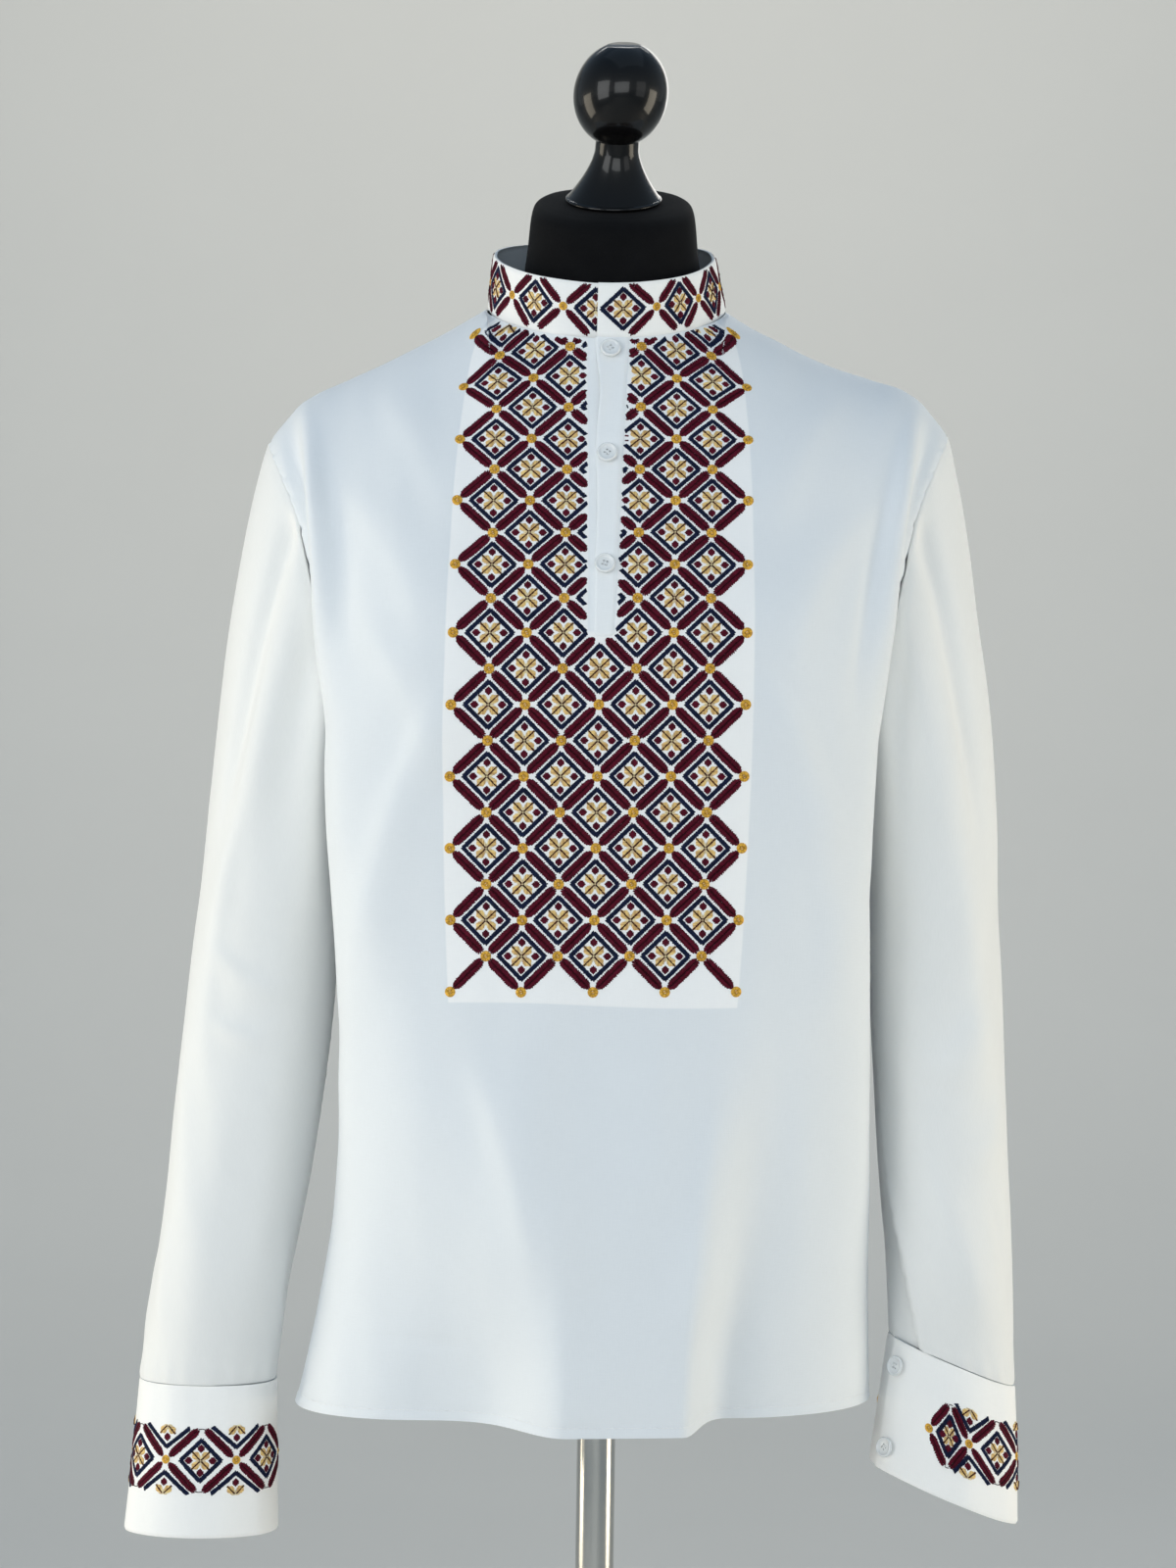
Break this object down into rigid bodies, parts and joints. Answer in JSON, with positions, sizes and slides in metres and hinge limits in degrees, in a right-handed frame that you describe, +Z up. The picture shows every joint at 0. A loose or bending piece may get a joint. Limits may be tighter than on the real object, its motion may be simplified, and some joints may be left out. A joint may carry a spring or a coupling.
{
  "type": "vyshyvanka shirt on a dress form",
  "caption": "Men's white stand-collar vyshyvanka shirt with a buttoned chest slit and long sleeves, worn by a black limbless dress form on a pole and round base, for display.",
  "frame": {"origin": "centre of the round base's underside, on the floor", "axes": "+Z up the pole, -Y the way the shirt's front faces, +X towards the sleeve on the right of a viewer who faces the front"},
  "size_m": [0.5779, 0.34, 1.6166],
  "materials": {
    "white_poplin": "plain-weave linen and cotton, matt",
    "white_button": "smooth, soft gloss",
    "black_jersey": "stretched fine jersey, matt",
    "black_gloss_wood": "black gloss lacquer",
    "chrome": "polished",
    "brushed_steel": "brushed"
  },
  "bodies": {
    "root": {"shirt_front": "white_poplin", "shirt_back": "white_poplin", "sleeve_left": "white_poplin", "sleeve_right": "white_poplin", "cuff_left": "white_poplin", "cuff_right": "white_poplin", "collar": "white_poplin", "placket_under": "white_poplin", "placket_upper": "white_poplin", "button_1": "white_button", "button_2": "white_button", "button_3": "white_button", "cuff_button_left_1": "white_button", "cuff_button_left_2": "white_button", "cuff_button_right_1": "white_button", "cuff_button_right_2": "white_button", "form_torso": "black_jersey", "finial": "black_gloss_wood", "stand_pole": "chrome", "stand_base": "brushed_steel"}
  },
  "joints": []
}
